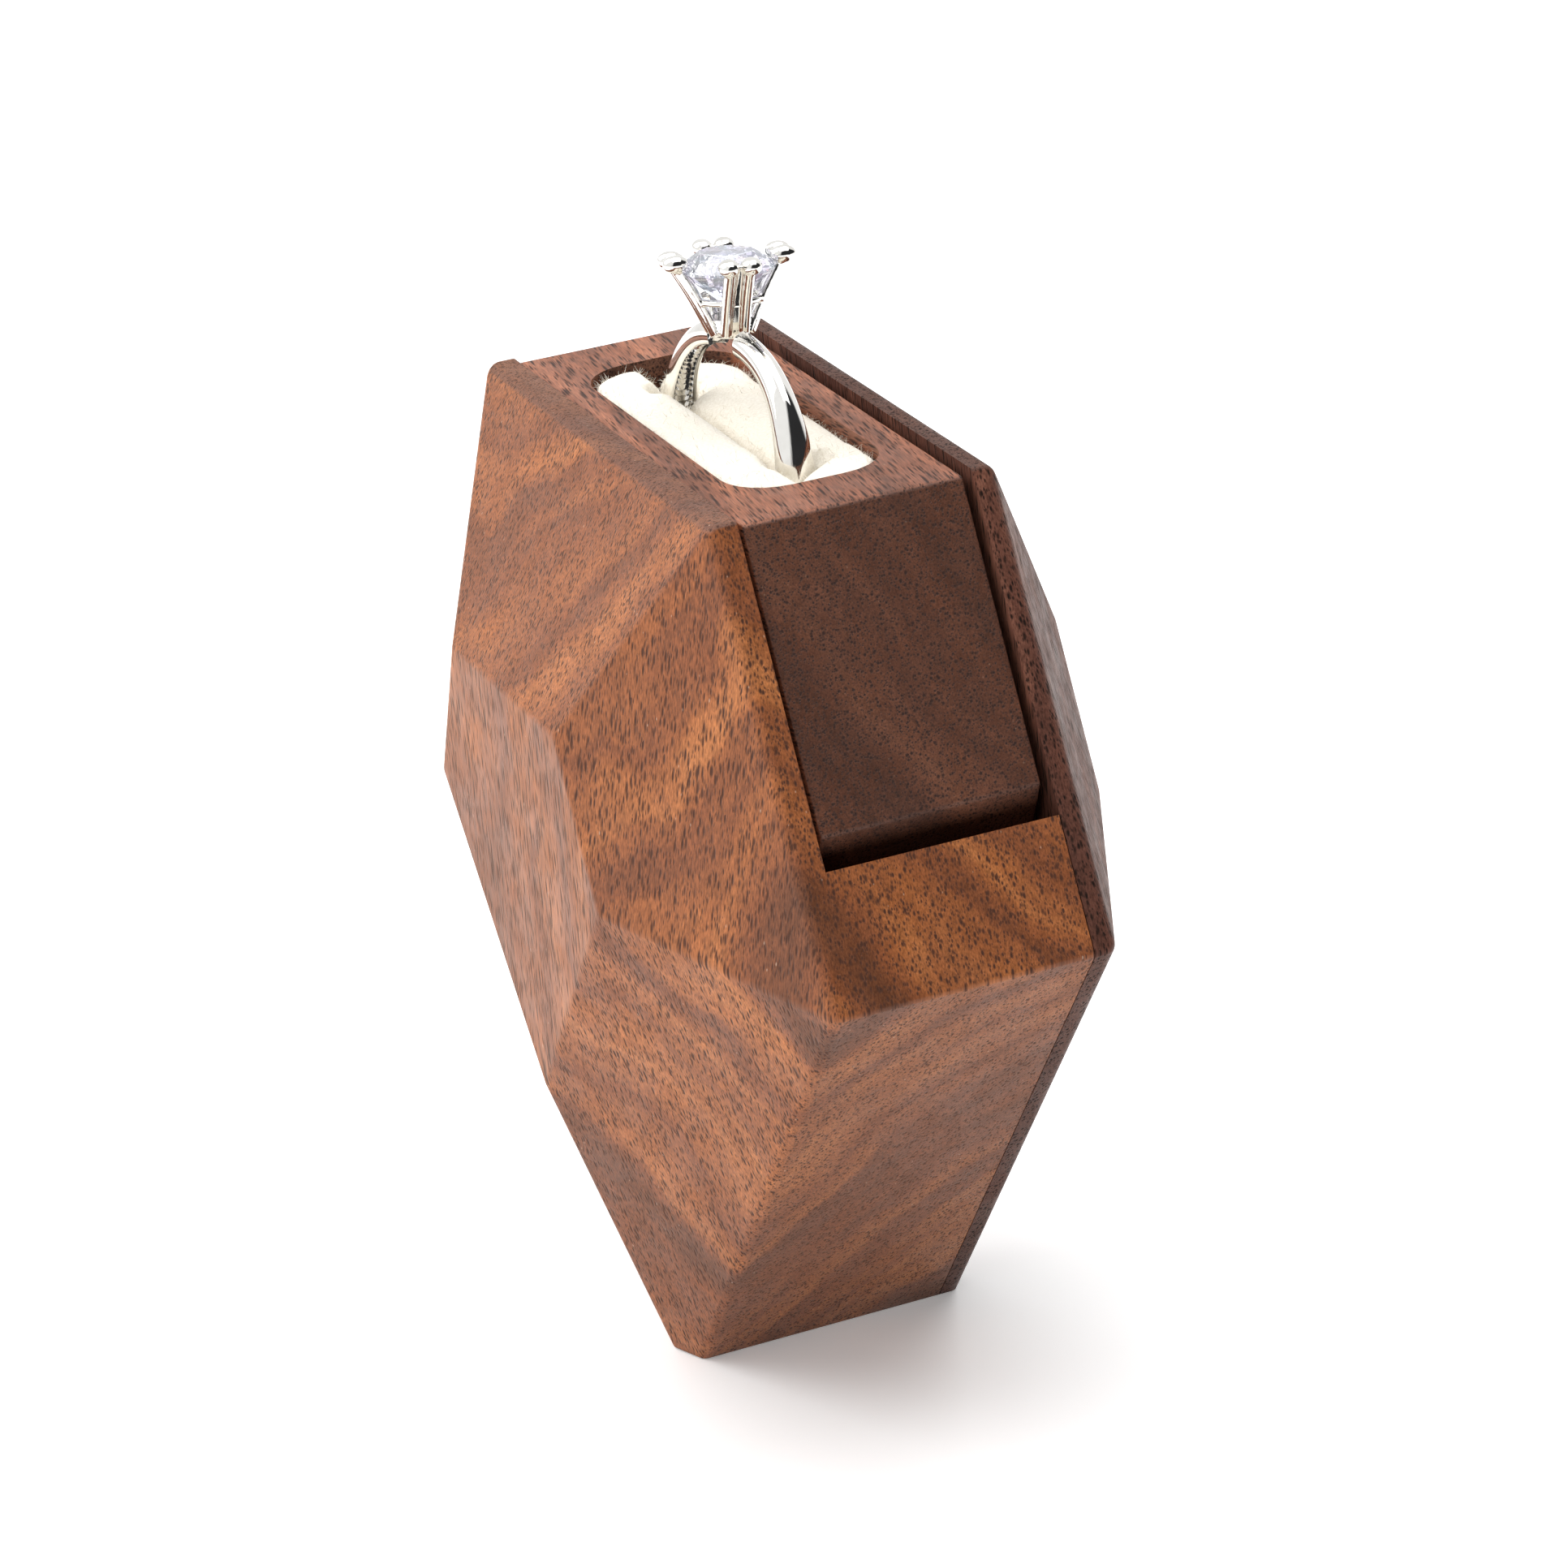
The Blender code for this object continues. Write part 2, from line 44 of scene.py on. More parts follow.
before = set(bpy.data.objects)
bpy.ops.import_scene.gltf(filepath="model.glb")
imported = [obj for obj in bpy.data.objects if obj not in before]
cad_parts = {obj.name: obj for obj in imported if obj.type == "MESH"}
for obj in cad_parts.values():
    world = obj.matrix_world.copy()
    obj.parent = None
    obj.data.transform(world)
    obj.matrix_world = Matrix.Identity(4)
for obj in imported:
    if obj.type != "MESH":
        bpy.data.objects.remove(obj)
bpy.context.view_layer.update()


# ---- shader helpers -------------------------------------------------------------------------
class Shader:
    """A material's node tree, with short calls for the nodes that the looks are made of."""

    def __init__(self, name):
        self.material = bpy.data.materials.new(name)
        self.material.use_nodes = True
        self.tree = self.material.node_tree
        self.surface = self.tree.nodes["Principled BSDF"]

    def node(self, kind, **settings):
        made = self.tree.nodes.new(kind)
        for key, value in settings.items():
            setattr(made, key, value)
        return made

    def plug(self, socket, value):
        if isinstance(value, bpy.types.NodeSocket):
            self.tree.links.new(value, socket)
        else:
            socket.default_value = value

    def math(self, operation, *values):
        made = self.node("ShaderNodeMath", operation=operation)
        for socket, value in zip(made.inputs, values):
            self.plug(socket, value)
        return made.outputs[0]

    def vector(self, operation, *values):
        made = self.node("ShaderNodeVectorMath", operation=operation)
        for socket, value in zip(made.inputs, values):
            self.plug(socket, value)
        return made.outputs["Value" if operation in ("DOT_PRODUCT", "LENGTH") else "Vector"]

    def millimetres(self):
        """The surface point in the model's own frame, in millimetres."""
        place = self.node("ShaderNodeTexCoord").outputs["Object"]
        return self.vector("MULTIPLY", place, (1 / MM, 1 / MM, 1 / MM))

    def noise(self, point, scale, detail=3.0, roughness=0.5):
        made = self.node("ShaderNodeTexNoise", noise_dimensions="3D")
        self.plug(made.inputs["Vector"], point)
        made.inputs["Scale"].default_value = scale
        made.inputs["Detail"].default_value = detail
        made.inputs["Roughness"].default_value = roughness
        return made.outputs["Fac"]

    def cells(self, point, scale, output="Distance"):
        made = self.node("ShaderNodeTexVoronoi", voronoi_dimensions="3D")
        self.plug(made.inputs["Vector"], point)
        made.inputs["Scale"].default_value = scale
        return made.outputs[output]

    def remap(self, value, low, high, to_low=0.0, to_high=1.0, smooth=True):
        made = self.node("ShaderNodeMapRange", interpolation_type="SMOOTHSTEP" if smooth else "LINEAR")
        for socket, item in zip(made.inputs, (value, low, high, to_low, to_high)):
            self.plug(socket, item)
        return made.outputs[0]

    def mix(self, factor, one, two):
        made = self.node("ShaderNodeMix", data_type="RGBA")
        self.plug(made.inputs[0], factor)
        self.plug(made.inputs[6], one if isinstance(one, bpy.types.NodeSocket) else (*one, 1.0))
        self.plug(made.inputs[7], two if isinstance(two, bpy.types.NodeSocket) else (*two, 1.0))
        return made.outputs[2]

    def ramp(self, factor, stops):
        made = self.node("ShaderNodeValToRGB")
        self.plug(made.inputs[0], factor)
        points = made.color_ramp.elements
        while len(points) < len(stops):
            points.new(0.5)
        for point, (place, colour) in zip(points, stops):
            point.position = place
            point.color = (*colour, 1.0)
        return made.outputs[0]

    def shaded(self, colour, amount):
        """The colour made darker or lighter by a factor."""
        made = self.node("ShaderNodeVectorMath", operation="SCALE")
        self.plug(made.inputs[0], colour)
        self.plug(made.inputs["Scale"], amount)
        return made.outputs["Vector"]

    def bump(self, height, distance, strength):
        made = self.node("ShaderNodeBump")
        made.inputs["Strength"].default_value = strength
        made.inputs["Distance"].default_value = distance
        self.plug(made.inputs["Height"], height)
        return made.outputs[0]

    def set(self, **values):
        """Give the surface its values, with a _ for each space in a socket's name."""
        for key, value in values.items():
            self.plug(self.surface.inputs[key.replace("_", " ")], value)


# ---- walnut, in millimetres -----------------------------------------------------------------
GROWTH_WIDTH = 3.2            # from one growth ring to the next
GROWTH_WANDER = 9.0           # how far slow noise bends the rings
GROWTH_RIPPLE = 0.9           # and fine noise
GROWTH_CHANGE = 70.0          # along the grain, until the rings look different
PORES = (                     # size across and along the grain, largest share of a cell, darkness
    (0.25, 2.6, 0.50, 1.0),
    (0.17, 1.3, 0.52, 0.85),
    (0.31, 1.9, 0.46, 0.9),
)
DUST_TONE = (0.62, 0.45, 0.33)


def walnut(name, tones, grain, pith, seed, pore_tone, end_grain_and_shade_tone,
           flecks=0.5, sheen=0.2, gloss=0.28, pore_long=1.0):
    """Oiled walnut cut from one board.

    grain is the direction of the fibres and pith a point on the middle of the log, which the
    growth rings circle.  tones run from dark late wood to light early wood.
    """
    mat = Shader(name)
    point = mat.vector("ADD", mat.millimetres(), seed)
    grain = Vector(grain).normalized()
    across = grain.cross(Vector((0.3, 1.0, 0.2))).normalized()
    beside = grain.cross(across)

    along = mat.vector("DOT_PRODUCT", point, tuple(grain))
    side_a = mat.vector("DOT_PRODUCT", point, tuple(across))
    side_b = mat.vector("DOT_PRODUCT", point, tuple(beside))

    def fibre_space(thin, long):
        joined = mat.node("ShaderNodeCombineXYZ")
        mat.plug(joined.inputs[0], mat.math("DIVIDE", side_a, thin))
        mat.plug(joined.inputs[1], mat.math("DIVIDE", side_b, thin))
        mat.plug(joined.inputs[2], mat.math("DIVIDE", along, long))
        return joined.outputs[0]

    # growth rings: distance from the pith line, bent by slow noise
    wander = mat.noise(point, 0.05, detail=2.0)
    ripple = mat.noise(fibre_space(2.2, 14.0), 1.0, detail=3.0)
    offset = mat.vector("SUBTRACT", point, tuple(Vector(pith) + Vector(seed)))
    run = mat.vector("DOT_PRODUCT", offset, tuple(grain))
    on_line = mat.vector("SCALE", tuple(grain))
    mat.plug(on_line.node.inputs["Scale"], run)
    radius = mat.vector("LENGTH", mat.vector("SUBTRACT", offset, on_line))
    radius = mat.math("ADD", radius, mat.math("MULTIPLY", wander, GROWTH_WANDER))
    radius = mat.math("ADD", radius, mat.math("MULTIPLY", ripple, GROWTH_RIPPLE))
    ring_seed = mat.node("ShaderNodeCombineXYZ")
    mat.plug(ring_seed.inputs[0], mat.math("DIVIDE", radius, GROWTH_WIDTH))
    mat.plug(ring_seed.inputs[1], mat.math("DIVIDE", along, GROWTH_CHANGE))
    figure = mat.noise(ring_seed.outputs[0], 1.0, detail=4.0, roughness=0.55)
    figure = mat.remap(figure, 0.3, 0.7)
    colour = mat.ramp(figure, [(0.0, tones[0]), (0.35, tones[1]), (0.68, tones[2]), (1.0, tones[3])])

    # slow clouds
    cloud = mat.noise(point, 0.16, detail=3.0)
    colour = mat.mix(mat.remap(cloud, 0.35, 0.7, 0.0, 0.5), colour, tones[1])

    # end grain drinks more oil, so it is darker and greyer; the mix is also made strong as painted
    # shade on the casing's downward-facing lower rim
    facing = mat.node("ShaderNodeTexCoord").outputs["Normal"]
    end_grain_and_shade_mask = mat.math("ABSOLUTE", mat.vector("DOT_PRODUCT", facing, tuple(grain)))
    colour = mat.mix(mat.remap(end_grain_and_shade_mask, 0.44, 0.78, 0.0, 0.70), colour, end_grain_and_shade_tone)

    # small mottling and fine fibres
    mottle = mat.noise(fibre_space(0.75, 2.2), 1.0, detail=4.0, roughness=0.65)
    fibre = mat.noise(fibre_space(0.11, 2.4), 1.0, detail=2.0, roughness=0.6)
    shade = mat.math(
        "MULTIPLY",
        mat.remap(mottle, 0.3, 0.7, 0.84, 1.12, smooth=False),
        mat.remap(fibre, 0.3, 0.7, 0.58, 1.36, smooth=False),
    )
    colour = mat.shaded(colour, shade)

    # pores: long thin vessels, so dashes along the grain and dots across it
    def vessels(thin, long, rarity, most, soft):
        space = fibre_space(thin, long)
        luck = mat.node("ShaderNodeSeparateColor")
        mat.plug(luck.inputs[0], mat.cells(space, 1.0, output="Color"))
        size = mat.remap(luck.outputs[0], rarity, 1.0, 0.01, most, smooth=False)
        reach = mat.math("DIVIDE", mat.cells(space, 1.0), size)
        return mat.remap(reach, soft, 1.2, 1.0, 0.0)

    pits = 0.0
    for thin, long, most, darkness in PORES:
        layer = mat.math("MULTIPLY", vessels(thin, long * pore_long, 0.0, most, 0.4), darkness)
        pits = mat.math("MAXIMUM", pits, layer)
    colour = mat.mix(pits, colour, pore_tone)

    # pale flecks, where a vessel still holds polish dust
    dust = mat.math("MULTIPLY", vessels(0.5, 1.3, 0.72, 0.14, 0.3), flecks)
    colour = mat.mix(dust, colour, DUST_TONE)

    height = mat.math("SUBTRACT", mat.math("MULTIPLY", fibre, 0.4), pits)
    worn = mat.noise(point, 0.35, detail=2.0)
    rough = mat.math("ADD", mat.remap(worn, 0.3, 0.7, 0.42, 0.54), mat.math("MULTIPLY", pits, 0.2))
    mat.set(Base_Color=colour, Roughness=rough, Normal=mat.bump(height, 0.045 * MM, 0.6))
    mat.set(Specular_IOR_Level=gloss, Sheen_Weight=sheen, Sheen_Roughness=0.3)
    mat.set(Sheen_Tint=(1.0, 0.74, 0.52, 1.0))
    return mat.material


def make_walnuts():
    # the end tones are end grain's own darker colour, made darker still as painted shade for the
    # casing's lower rim
    casing = walnut(
        "walnut_casing",
        [(0.125, 0.043, 0.018), (0.235, 0.073, 0.026), (0.355, 0.115, 0.035), (0.48, 0.172, 0.055)],
        (0.04, 0.0, 1.0), (-17.0, 26.0, 0.0), (3.0, 5.0, 7.0), pore_tone=(0.062, 0.021, 0.010),
        end_grain_and_shade_tone=(0.112, 0.049, 0.032),
    )
    cover = walnut(
        "walnut_cover",
        [(0.08, 0.034, 0.024), (0.12, 0.048, 0.033), (0.165, 0.066, 0.043), (0.22, 0.092, 0.06)],
        (-0.04, 0.0, 1.0), (22.0, -30.0, 0.0), (41.0, 13.0, 19.0), pore_tone=(0.014, 0.007, 0.005),
        end_grain_and_shade_tone=(0.08, 0.037, 0.026), flecks=0.2, sheen=0.02, gloss=0.1,
    )
    block = walnut(
        "walnut_block",
        [(0.11, 0.040, 0.021), (0.20, 0.070, 0.036), (0.30, 0.108, 0.055), (0.39, 0.15, 0.078)],
        (1.0, -0.10, 0.06), (0.0, 30.0, 70.0), (17.0, 71.0, 23.0), pore_tone=(0.03, 0.012, 0.008),
        end_grain_and_shade_tone=(0.066, 0.028, 0.018), flecks=0.15, sheen=0.08, pore_long=1.5,
    )
    return casing, cover, block


# ---- other materials ------------------------------------------------------------------------
def felt_material():
    mat = Shader("cream_felt")
    point = mat.millimetres()
    nap = mat.noise(point, 5.5, detail=4.0, roughness=0.7)
    tuft = mat.noise(point, 1.1, detail=3.0)
    cloud = mat.noise(point, 0.22, detail=2.0)
    colour = mat.mix(mat.remap(nap, 0.3, 0.7), (0.76, 0.70, 0.59), (0.91, 0.865, 0.77))
    colour = mat.mix(mat.remap(cloud, 0.3, 0.7, 0.0, 0.35), colour, (0.86, 0.79, 0.67))
    height = mat.math("ADD", mat.math("MULTIPLY", nap, 0.5), mat.math("MULTIPLY", tuft, 0.6))
    mat.set(Base_Color=colour, Roughness=0.95, Normal=mat.bump(height, 0.12 * MM, 0.6))
    mat.set(Sheen_Weight=0.5, Sheen_Roughness=0.5, Specular_IOR_Level=0.2)
    return mat.material


def metal_material(name, bright, dull, roughness):
    """Polished or turned metal with faint streaks and smudges."""
    mat = Shader(name)
    point = mat.millimetres()
    smudge = mat.noise(point, 0.7, detail=3.0)
    streak = mat.noise(mat.vector("MULTIPLY", point, (1.0, 6.0, 0.4)), 2.0, detail=2.0)
    colour = mat.mix(mat.remap(smudge, 0.35, 0.7), bright, dull)
    worn = mat.remap(smudge, 0.3, 0.75, roughness, roughness * 1.7)
    rough = mat.math("ADD", worn, mat.math("MULTIPLY", streak, 0.03))
    mat.set(Base_Color=colour, Roughness=rough, Normal=mat.bump(streak, 0.01 * MM, 0.15))
    mat.set(Metallic=1.0)
    return mat.material


def crystal_material():
    mat = Shader("cut_crystal")
    point = mat.millimetres()
    # painted light: random coloured cells stand in for the coloured flashes that a cut stone throws
    painted_fire_tint = mat.cells(point, 0.8, output="Color")
    colour = mat.mix(0.3, (0.9, 0.9, 1.0), mat.mix(0.5, painted_fire_tint, (0.7, 0.75, 1.0)))
    mat.set(Base_Color=colour, Roughness=0.0, IOR=2.1, Transmission_Weight=1.0)
    # painted light: the stone glows faintly blue-white, though it is no lamp
    mat.set(Emission_Color=(0.86, 0.88, 1.0, 1.0), Emission_Strength=0.07)
    return mat.material


def plain_floor():
    mat = Shader("pale_floor")
    mat.set(Base_Color=(0.93, 0.93, 0.93, 1.0), Roughness=0.6, Specular_IOR_Level=0.25)
    mat.set(Emission_Color=(1.0, 1.0, 1.0, 1.0), Emission_Strength=0.24)
    return mat.material


# ---- mesh helpers ---------------------------------------------------------------------------
def object_from(name, bm, material, smooth_angle=None):
    bmesh.ops.recalc_face_normals(bm, faces=bm.faces)
    mesh = bpy.data.meshes.new(name)
    bm.to_mesh(mesh)
    bm.free()
    mesh.materials.append(material)
    made = bpy.data.objects.new(name, mesh)
    bpy.context.scene.collection.objects.link(made)
    if smooth_angle is not None:
        mesh.shade_smooth()
        mesh.set_sharp_from_angle(angle=radians(smooth_angle))
    return made


def dress(node, material):
    """Give a CAD node its material."""
    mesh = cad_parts[node].data
    if mesh.materials:
        mesh.materials[0] = material
    else:
        mesh.materials.append(material)


def smoothstep(value, low, high):
    share = min(max((value - low) / (high - low), 0.0), 1.0)
    return share * share * (3 - 2 * share)


def loft(bm, sections):
    """Join rings of points, each a list of the same length, into a closed tube."""
    rings = [[bm.verts.new(point) for point in section] for section in sections]
    count = len(rings[0])
    for low, high in zip(rings, rings[1:]):
        for i in range(count):
            j = (i + 1) % count
            bm.faces.new((low[i], low[j], high[j], high[i]))
    bm.faces.new(rings[0][::-1])
    bm.faces.new(rings[-1])


def tube(bm, path, radii, sides=14):
    """A round bar along a path of points with a radius at each."""
    sections = []
    for i, (point, radius) in enumerate(zip(path, radii)):
        ahead = path[min(i + 1, len(path) - 1)] - path[max(i - 1, 0)]
        turn = ahead.to_track_quat("Z", "Y").to_matrix()
        sections.append([
            point + turn @ Vector((radius * cos(a), radius * sin(a), 0))
            for a in (2 * pi * k / sides for k in range(sides))
        ])
    loft(bm, sections)


def blob(bm, centre, size, facing):
    """A rounded lump with half sizes along, across and up, its long side facing outwards."""
    ball = bmesh.ops.create_uvsphere(bm, u_segments=20, v_segments=14, radius=1.0)
    turn = facing.to_track_quat("X", "Z").to_matrix().to_4x4()
    shape = Matrix.Translation(centre) @ turn @ Matrix.Diagonal((*size, 1.0))
    bmesh.ops.transform(bm, matrix=shape, verts=ball["verts"])


def apply_modifiers(item):
    """Make the shape that the modifiers give the object's own mesh."""
    view = bpy.context.evaluated_depsgraph_get()
    mesh = bpy.data.meshes.new_from_object(item.evaluated_get(view))
    old = item.data
    item.modifiers.clear()
    item.data = mesh
    bpy.data.meshes.remove(old)


# ---- casing ---------------------------------------------------------------------------------
SHARP_ANGLE = radians(32)     # edges that turn less are shaded smooth
LIP_INSET = 0.02 * MM         # where the seam's lip starts inside the shell
LIP_GAP = 0.07 * MM           # what it leaves open before the cover


def shading_group():
    """Weld the facets and shade smooth across every edge but the sharp ones."""
    group = bpy.data.node_groups.new("soft_edges", "GeometryNodeTree")
    group.interface.new_socket("Geometry", in_out="INPUT", socket_type="NodeSocketGeometry")
    group.interface.new_socket("Geometry", in_out="OUTPUT", socket_type="NodeSocketGeometry")
    nodes, link = group.nodes, group.links.new
    source, result = nodes.new("NodeGroupInput"), nodes.new("NodeGroupOutput")
    plain = nodes.new("GeometryNodeRemoveAttribute")
    plain.inputs["Name"].default_value = "custom_normal"
    weld = nodes.new("GeometryNodeMergeByDistance")
    weld.inputs["Distance"].default_value = WELD
    faces = nodes.new("GeometryNodeSetShadeSmooth")
    angle = nodes.new("GeometryNodeInputMeshEdgeAngle")
    gentle = nodes.new("FunctionNodeCompare")
    gentle.operation = "LESS_THAN"
    gentle.inputs[1].default_value = SHARP_ANGLE
    edges = nodes.new("GeometryNodeSetShadeSmooth")
    edges.domain = "EDGE"
    link(source.outputs[0], plain.inputs[0])
    link(plain.outputs[0], weld.inputs[0])
    link(weld.outputs[0], faces.inputs[0])
    link(faces.outputs[0], edges.inputs[0])
    link(angle.outputs[0], gentle.inputs[0])
    link(gentle.outputs[0], edges.inputs["Shade Smooth"])
    link(edges.outputs[0], result.inputs[0])
    return group


def flatten_facets(names):
    """Let the big faces set the shading, so that only the rounded edges look round."""
    group = shading_group()
    for name in names:
        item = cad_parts[name]
        item.modifiers.new("soft_edges", "NODES").node_group = group
        step = item.modifiers.new("flat_facets", "WEIGHTED_NORMAL")
        step.weight = 100
        step.keep_sharp = True


def make_seam_lip(wood):
    """The shell's rear edge, carried to the cover so that the glued seam is a hairline."""
    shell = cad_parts["body_shell"]
    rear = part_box("body_shell")[1][1]
    front_of_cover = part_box("rear_cover")[0][1]
    bm = bmesh.new()
    bm.from_mesh(shell.data)
    bmesh.ops.remove_doubles(bm, verts=bm.verts, dist=WELD)
    others = [f for f in bm.faces if any(abs(v.co.y - rear) > 0.01 * MM for v in f.verts)]
    bmesh.ops.delete(bm, geom=others, context="FACES")
    bmesh.ops.translate(bm, vec=(0, -LIP_INSET, 0), verts=bm.verts)
    grown = bmesh.ops.extrude_face_region(bm, geom=list(bm.faces))
    top = [v for v in grown["geom"] if isinstance(v, bmesh.types.BMVert)]
    bmesh.ops.translate(bm, vec=(0, front_of_cover - rear + LIP_INSET - LIP_GAP, 0), verts=top)
    lip = object_from("seam_lip", bm, wood)
    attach(lip, BODY)


# ---- ring -----------------------------------------------------------------------------------
RING_CENTRE = Vector((-0.5, 0.0, 60.8)) * MM
RING_LEAN = radians(-4)         # about Y, as in the CAD model
RING_TILT = radians(-4)         # about X at the pads' mid height: the felt lets the ring lean back
TILT_Z = 57.0 * MM
RING_YAW = radians(2.5)
HEAD_TURN = radians(-10.5)
RING_MEAN_R = 9.25 * MM
BAND_THICK = 2.0 * MM
BAND_WIDTH = 2.5 * MM
BAND_STEP = 0.105 * MM
CHANNEL_SIDE = (                # shares of the half width and half thickness, from the edge inwards
    (1.0, 0.45),
    (0.9, 0.82),
    (0.74, 0.95),
    (0.58, 0.82),
    (0.5, 0.35),
)
HEAD_ANGLE = radians(82)        # where the band meets the head, seen from the ring's centre
ARCH_POWER = 0.8                # under 1 squares the arch, 1 is a circle
ROUTE_FINE = 4000               # points that the evenly spaced ones are picked from
BEAD_PITCH = 0.42 * MM
TAPER_FROM = 1.5 * MM           # height above the ring's centre where the band starts to narrow
TOP_SHARE = 0.62                # how wide the band is where it meets the head
TOP_THICKNESS = 0.8             # and how thick

CLAW_FOOT_R = 1.15 * MM
CLAW_TOP_R = 3.62 * MM
CLAW_FOOT_Z = RING_MEAN_R + 0.35 * MM
CLAW_TOP_Z = RING_MEAN_R + 5.25 * MM
CLAW_APART = 0.62 * MM          # half the spacing of the two columns of a claw
CLAW_BEND = 0.14 * MM
COLUMN_R = 0.38 * MM
CLAW_END = Vector((0.86, 0.70, 0.58)) * MM      # half sizes of the lump on a column's end
CLAW_TIP = Vector((0.46, 0.4, 0.28)) * MM       # and of the tip folded over the stone
WEB_INSET = 0.06 * MM
WEB_THICK = 0.30 * MM
CUP = (                         # mm: lower and upper end, lower and upper radius
    (0.0, 0.5, 1.15, 1.38),
    (0.5, 1.3, 1.38, 1.5),
)
CUP_Z = RING_MEAN_R + 0.08 * MM
GALLERY_R = 2.02 * MM
GALLERY_Z = RING_MEAN_R + 2.6 * MM
GALLERY_BAR_R = 0.24 * MM
HEAD_VOXEL = 0.065 * MM

STONE_R = 3.2 * MM
GIRDLE_Z = RING_MEAN_R + 4.62 * MM


def ring_place():
    """From the ring's own frame, upright about its centre, to its place in the felt."""
    lean = Matrix.Translation(RING_CENTRE) @ Matrix.Rotation(RING_LEAN, 4, "Y")
    lean = lean @ Matrix.Rotation(RING_YAW, 4, "Z")
    pivot = Matrix.Translation((0, 0, TILT_Z))
    return pivot @ Matrix.Rotation(RING_TILT, 4, "X") @ pivot.inverted() @ lean


def set_ring_piece(item, node):
    """Put a piece modelled upright into the ring's place, and let it stand for its CAD node."""
    item.data.transform(ring_place())
    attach(item, TURNING)
    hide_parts(node)


def band_route(step):
    """Evenly spaced points and outward directions along the band, from the head round to the head.

    The lower half is a circle; the upper half stays upright longer, then bends in to the head.
    """
    fine = []
    sweep = pi + 2 * HEAD_ANGLE
    for i in range(ROUTE_FINE + 1):
        angle = HEAD_ANGLE - sweep * i / ROUTE_FINE
        x, z = cos(angle), sin(angle)
        if z > 0:
            x, z = copysign(abs(x) ** ARCH_POWER, x), z ** ARCH_POWER
        fine.append(Vector((x, 0, z)) * RING_MEAN_R)
    spaced = [fine[0]]
    for point in fine[1:]:
        if (point - spaced[-1]).length >= step:
            spaced.append(point)
    route = []
    for i, point in enumerate(spaced):
        ahead = (spaced[min(i + 1, len(spaced) - 1)] - spaced[max(i - 1, 0)]).normalized()
        route.append((point, Vector((-ahead.z, 0, ahead.x))))
    return route


def make_band(silver):
    """The band: a pointed round outside, and a beaded channel between two rims inside."""
    bm = bmesh.new()
    sections = []
    for index, (centre, out) in enumerate(band_route(BAND_STEP)):
        bead = 0.5 + 0.5 * cos(index * 2 * pi * BAND_STEP / BEAD_PITCH)
        rise = smoothstep(centre.z, TAPER_FROM, RING_MEAN_R)
        half_w = BAND_WIDTH / 2 * (1 - (1 - TOP_SHARE) * rise)
        half_t = BAND_THICK / 2 * (1 - (1 - TOP_THICKNESS) * rise)
        floor = -half_t * (0.25 + 0.4 * bead)
        section = []
        for k in range(15):
            turn = pi * k / 14
            height = 0.82 * sin(turn) + 0.18 * sin(turn) ** 6
            section.append((half_w * cos(turn), half_t * height))
        section += [(-half_w * wide, -half_t * deep) for wide, deep in CHANNEL_SIDE]
        section += [(-half_w * 0.3, floor), (0.0, floor * 1.1), (half_w * 0.3, floor)]
        section += [(half_w * wide, -half_t * deep) for wide, deep in reversed(CHANNEL_SIDE)]
        sections.append([centre + Vector((0, y, 0)) + out * r for y, r in section])
    loft(bm, sections)
    set_ring_piece(object_from("ring_band_silver", bm, silver, 48), "ring_band")


def claw_side(pair):
    """The directions outwards and sideways of one of the four claws."""
    turn = HEAD_TURN + pair * pi / 2
    out = Vector((cos(turn), sin(turn), 0))
    return out, Vector((-out.y, out.x, 0))


def column_point(pair, side, share, inset=0.0):
    """A point on a column's mean line; share runs from the foot to the top."""
    out, along = claw_side(pair)
    bend = CLAW_BEND * sin(pi * share)
    lean = CLAW_FOOT_R + (CLAW_TOP_R - CLAW_FOOT_R) * share - bend - inset
    rise = CLAW_FOOT_Z + (CLAW_TOP_Z - CLAW_FOOT_Z) * share
    return out * lean + along * CLAW_APART * side + Vector((0, 0, rise))


def make_head(silver):
    """Four split claws, each two columns joined by a web and folded over the stone, on a cup."""
    bm = bmesh.new()
    for pair in range(4):
        out, along = claw_side(pair)
        for side in (-1, 1):
            shares = [k / 12 for k in range(13)]
            path = [column_point(pair, side, share) for share in shares]
            tube(bm, path, [COLUMN_R * (0.92 + 0.2 * share) for share in shares])
            top = path[-1]
            blob(bm, top - out * 0.05 * MM + along * side * 0.12 * MM, CLAW_END, out)
            blob(bm, top - out * CLAW_TIP.x + Vector((0, 0, CLAW_TIP.z / 2)), CLAW_TIP, out)
        sections = []
        for share in (0.0, 0.2, 0.4, 0.6, 0.8, 0.97):
            left = column_point(pair, -1, share, WEB_INSET)
            right = column_point(pair, 1, share, WEB_INSET)
            half = out * WEB_THICK / 2
            sections.append([left - half, right - half, right + half, left + half])
        loft(bm, sections)
    for low, high, foot_r, top_r in CUP:
        cup = bmesh.ops.create_cone(
            bm, cap_ends=True, segments=48, radius1=foot_r * MM, radius2=top_r * MM,
            depth=(high - low) * MM,
        )
        middle = CUP_Z + (low + high) / 2 * MM
        bmesh.ops.translate(bm, vec=(0, 0, middle), verts=cup["verts"])
    gallery = [
        Vector((GALLERY_R * cos(a), GALLERY_R * sin(a), GALLERY_Z))
        for a in (2 * pi * k / 48 for k in range(49))
    ]
    tube(bm, gallery, [GALLERY_BAR_R] * len(gallery), sides=10)
    head = object_from("ring_head_silver", bm, silver)
    remesh = head.modifiers.new("fuse", "REMESH")
    remesh.mode = "VOXEL"
    remesh.voxel_size = HEAD_VOXEL
    remesh.use_smooth_shade = True
    soften = head.modifiers.new("soften", "SMOOTH")
    soften.iterations = 2
    soften.factor = 0.5
    apply_modifiers(head)
    head.data.shade_smooth()
    set_ring_piece(head, "ring_head")


